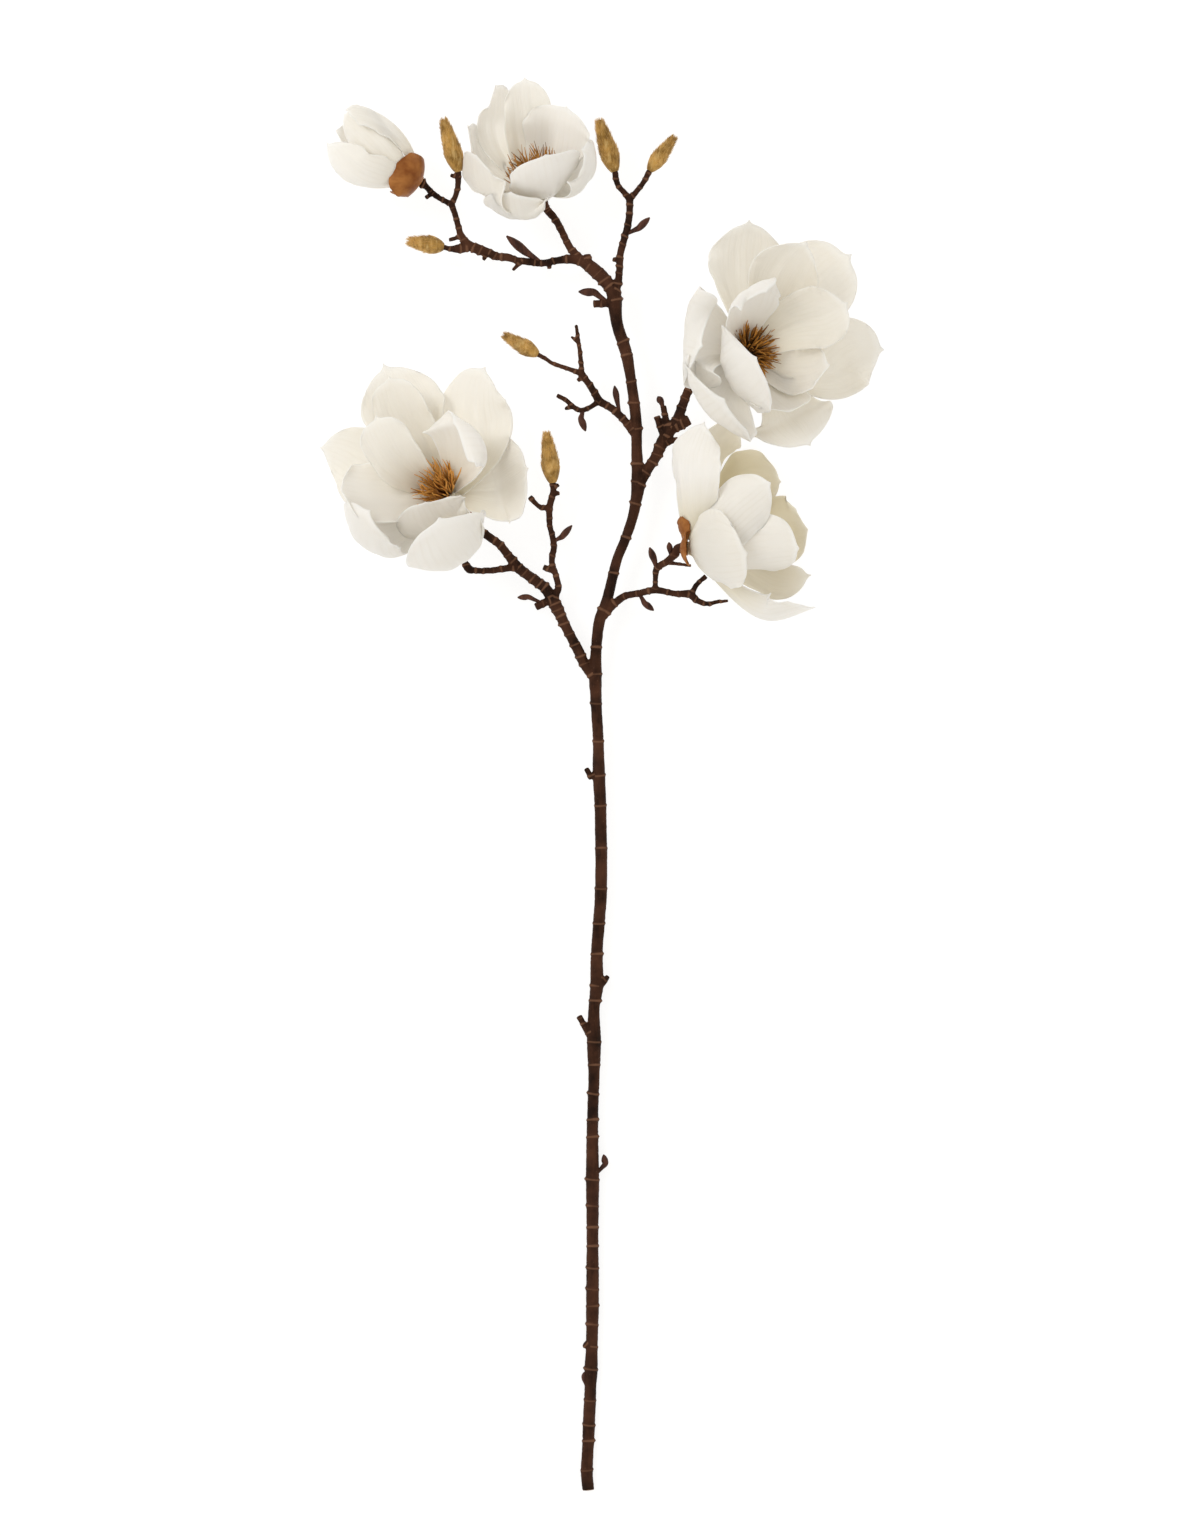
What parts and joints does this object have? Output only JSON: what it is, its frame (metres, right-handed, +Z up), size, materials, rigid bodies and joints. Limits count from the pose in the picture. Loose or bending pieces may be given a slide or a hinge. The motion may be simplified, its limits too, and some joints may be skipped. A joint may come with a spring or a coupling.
{
  "type": "saucer magnolia branch",
  "caption": "Cut branch of saucer magnolia lying down: knobbly forked wood with leaf buds, open white blooms, an opening bloom and furry flower buds.",
  "frame": {"origin": "centre of the underside of the whole branch's box, on the surface it lies on", "axes": "+Z up from the surface, +Y along the stem from the cut end to the blooms, +X to the right of the branch seen from above"},
  "size_m": [0.3972, 0.9919, 0.09],
  "materials": {
    "bark": "matte",
    "tepal": "satin",
    "stamen": "matte",
    "scale": "satin",
    "fur": "matte"
  },
  "bodies": {
    "root": {"branch": "bark", "bloom_left_tepals": "tepal", "bloom_left_stamens": "stamen", "bloom_left_scales": "scale", "bloom_right_tepals": "tepal", "bloom_right_stamens": "stamen", "bloom_top_tepals": "tepal", "bloom_top_stamens": "stamen", "bloom_low_tepals": "tepal", "bloom_low_stamens": "stamen", "bloom_low_scales": "scale", "bloom_opening_tepals": "tepal", "bloom_opening_scales": "scale", "bud_upper_left": "fur", "bud_far_left": "fur", "bud_top_left": "fur", "bud_top_right": "fur", "bud_mid_left": "fur", "bud_low_left": "fur"}
  },
  "joints": []
}
